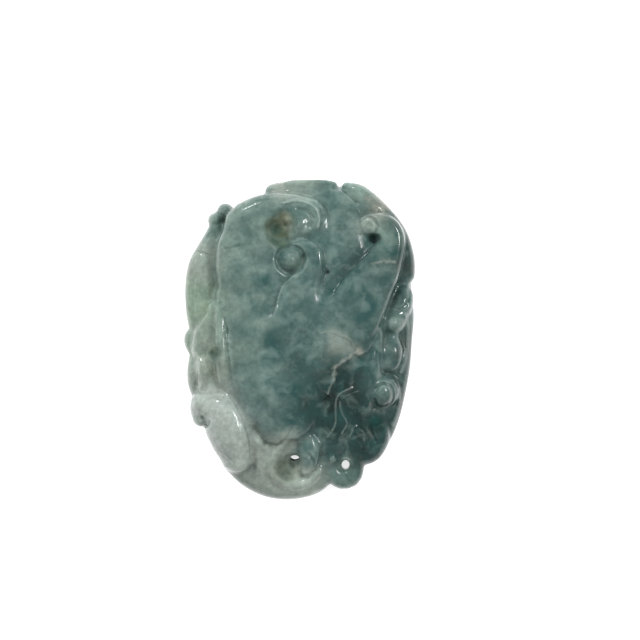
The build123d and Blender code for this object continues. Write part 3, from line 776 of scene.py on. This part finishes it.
# The polished jade.
# Translucent jadeite polished to a wet shine, with a cloudy grain, painted highlights on the edges that
# stand out and painted shade in the bottoms of grooves.
jade = bpy.data.materials.new("jade")
jade.use_nodes = True
nodes = jade.node_tree.nodes
links = jade.node_tree.links
shader = nodes["Principled BSDF"]
tint = nodes.new("ShaderNodeAttribute")
tint.attribute_name = "tint"
edge_highlight_and_groove_shade = nodes.new("ShaderNodeAttribute")
edge_highlight_and_groove_shade.attribute_name = "edge_highlight_and_groove_shade"
dull = nodes.new("ShaderNodeAttribute")
dull.attribute_name = "dull"
where = nodes.new("ShaderNodeTexCoord")


def cloudiness(scale, detail, distortion, low, high):
    """A grey noise of the stone's own, spread between two values."""
    grain = nodes.new("ShaderNodeTexNoise")
    grain.inputs["Scale"].default_value = scale
    grain.inputs["Detail"].default_value = detail
    grain.inputs["Distortion"].default_value = distortion
    links.new(where.outputs["Object"], grain.inputs["Vector"])
    spread = nodes.new("ShaderNodeMapRange")
    spread.inputs["From Min"].default_value = 0.3
    spread.inputs["From Max"].default_value = 0.7
    spread.inputs["To Min"].default_value = low
    spread.inputs["To Max"].default_value = high
    links.new(grain.outputs["Fac"], spread.inputs["Value"])
    return spread.outputs["Result"]


def scaled(colour, amount):
    """A colour made darker or lighter by an amount."""
    product = nodes.new("ShaderNodeVectorMath")
    product.operation = "SCALE"
    links.new(colour, product.inputs[0])
    links.new(amount, product.inputs["Scale"])
    return product.outputs["Vector"]


def mixed(amount, under, colour):
    """A colour laid over another by an amount."""
    blend = nodes.new("ShaderNodeMix")
    blend.data_type = "RGBA"
    blend.inputs[7].default_value = (*colour, 1)
    links.new(amount, blend.inputs[0])
    links.new(under, blend.inputs[6])
    return blend.outputs[2]


def times(first, second):
    """One grey value multiplied by another."""
    product = nodes.new("ShaderNodeMath")
    product.operation = "MULTIPLY"
    links.new(first, product.inputs[0])
    links.new(second, product.inputs[1])
    return product.outputs["Value"]


# the pale parts are clear and the dark ones full of patches
paleness = nodes.new("ShaderNodeRGBToBW")
links.new(tint.outputs["Color"], paleness.inputs["Color"])
fullness = nodes.new("ShaderNodeMapRange")
fullness.inputs["From Min"].default_value = 0.12
fullness.inputs["From Max"].default_value = 0.36
fullness.inputs["To Min"].default_value = 1.0
fullness.inputs["To Max"].default_value = 0.2
links.new(paleness.outputs["Val"], fullness.inputs["Value"])
clouded = scaled(tint.outputs["Color"], cloudiness(150, 4, 0.4, 0.56, 0.86))
grained = scaled(clouded, cloudiness(1300, 8, 0.4, 0.80, 1.20))
patches = times(fullness.outputs["Result"], cloudiness(320, 9, 0.4, -0.3, 0.95))
patched = mixed(patches, grained, shade(30, 66, 64))
misted = mixed(cloudiness(420, 9, 0.4, -0.22, 0.24), patched, shade(140, 160, 152))
# corners that stand out are painted paler, a painted highlight along the edges, and the bottoms of grooves
# are painted darker, a painted shade
painted_edge_highlight = nodes.new("ShaderNodeMapRange")
painted_edge_highlight.inputs["From Min"].default_value = 0.03
painted_edge_highlight.inputs["From Max"].default_value = 0.2
painted_edge_highlight.inputs["To Max"].default_value = 0.38
links.new(edge_highlight_and_groove_shade.outputs["Fac"], painted_edge_highlight.inputs["Value"])
with_edge_highlight = mixed(painted_edge_highlight.outputs["Result"], misted, shade(176, 190, 180))
painted_groove_shade = nodes.new("ShaderNodeMapRange")
painted_groove_shade.inputs["From Min"].default_value = -0.2
painted_groove_shade.inputs["From Max"].default_value = -0.02
painted_groove_shade.inputs["To Min"].default_value = 0.7
painted_groove_shade.inputs["To Max"].default_value = 1.0
links.new(edge_highlight_and_groove_shade.outputs["Fac"], painted_groove_shade.inputs["Value"])
finish = scaled(with_edge_highlight, painted_groove_shade.outputs["Result"])
links.new(finish, shader.inputs["Base Color"])
rougher = nodes.new("ShaderNodeMapRange")
rougher.inputs["To Min"].default_value = 0.16
rougher.inputs["To Max"].default_value = 0.6
links.new(dull.outputs["Fac"], rougher.inputs["Value"])
links.new(rougher.outputs["Result"], shader.inputs["Roughness"])
weaker = nodes.new("ShaderNodeMapRange")
weaker.inputs["To Min"].default_value = 0.3
weaker.inputs["To Max"].default_value = 0.0
links.new(dull.outputs["Fac"], weaker.inputs["Value"])
links.new(weaker.outputs["Result"], shader.inputs["Specular IOR Level"])
shader.inputs["IOR"].default_value = 1.6
shader.inputs["Subsurface Weight"].default_value = 0.35
shader.inputs["Subsurface Radius"].default_value = (1.0, 1.15, 1.05)
shader.inputs["Subsurface Scale"].default_value = 0.0012
stone.data.materials.clear()
stone.data.materials.append(jade)

# The floor, the light and the camera.
# A plain pale floor, soft light from the upper left, a lamp on either side that is mirrored in the
# polish, and a long lens straight above the stone.
floor_mesh = bpy.data.meshes.new("floor")
ground = bmesh.new()
bmesh.ops.create_grid(ground, x_segments=1, y_segments=1, size=1.0)
ground.to_mesh(floor_mesh)
ground.free()
floor = bpy.data.objects.new("floor", floor_mesh)
bpy.context.collection.objects.link(floor)
pale = bpy.data.materials.new("pale_floor")
pale.use_nodes = True
card = pale.node_tree.nodes["Principled BSDF"]
card.inputs["Base Color"].default_value = (0.6, 0.6, 0.6, 1)
card.inputs["Emission Color"].default_value = (1, 1, 1, 1)
card.inputs["Emission Strength"].default_value = 0.75
floor_mesh.materials.append(pale)

world = bpy.data.worlds.new("soft_room")
bpy.context.scene.world = world
world.use_nodes = True
world.node_tree.nodes["Background"].inputs["Color"].default_value = (1, 1, 1, 1)
world.node_tree.nodes["Background"].inputs["Strength"].default_value = 0.52

# name, across, up, height, width, length, power, and whether it is mirrored in the polish
LAMPS = (
    ("soft_box", -0.26, 0.26, 0.50, 0.60, 0.60, 3.3, False),
    ("left_tube", -0.18, 0.40, 0.30, 0.09, 0.028, 0.70, True),
    ("right_tube", 0.272, 0.108, 0.36, 0.18, 0.022, 1.10, True),
)
for name, across, up, height, width, length, power, mirrored in LAMPS:
    lamp = bpy.data.lights.new(name, "AREA")
    lamp.shape = "RECTANGLE"
    lamp.size = width
    lamp.size_y = length
    lamp.energy = power
    holder = bpy.data.objects.new(name, lamp)
    holder.location = (across, up, height)
    holder.rotation_euler = (-holder.location).to_track_quat("-Z", "Y").to_euler()
    holder.visible_glossy = mirrored
    bpy.context.collection.objects.link(holder)

bpy.context.scene.view_settings.view_transform = "Standard"
FRAME_WIDTH = 0.1024
LENS = 200.0
SENSOR_WIDTH = 36.0
AIM = (0.00336, 0.00304, 0.004)
lens = bpy.data.cameras.new("camera")
lens.lens = LENS
lens.sensor_width = SENSOR_WIDTH
camera = bpy.data.objects.new("camera", lens)
camera.location = (AIM[0], AIM[1], AIM[2] + FRAME_WIDTH * LENS / SENSOR_WIDTH)
bpy.context.collection.objects.link(camera)
bpy.context.scene.camera = camera
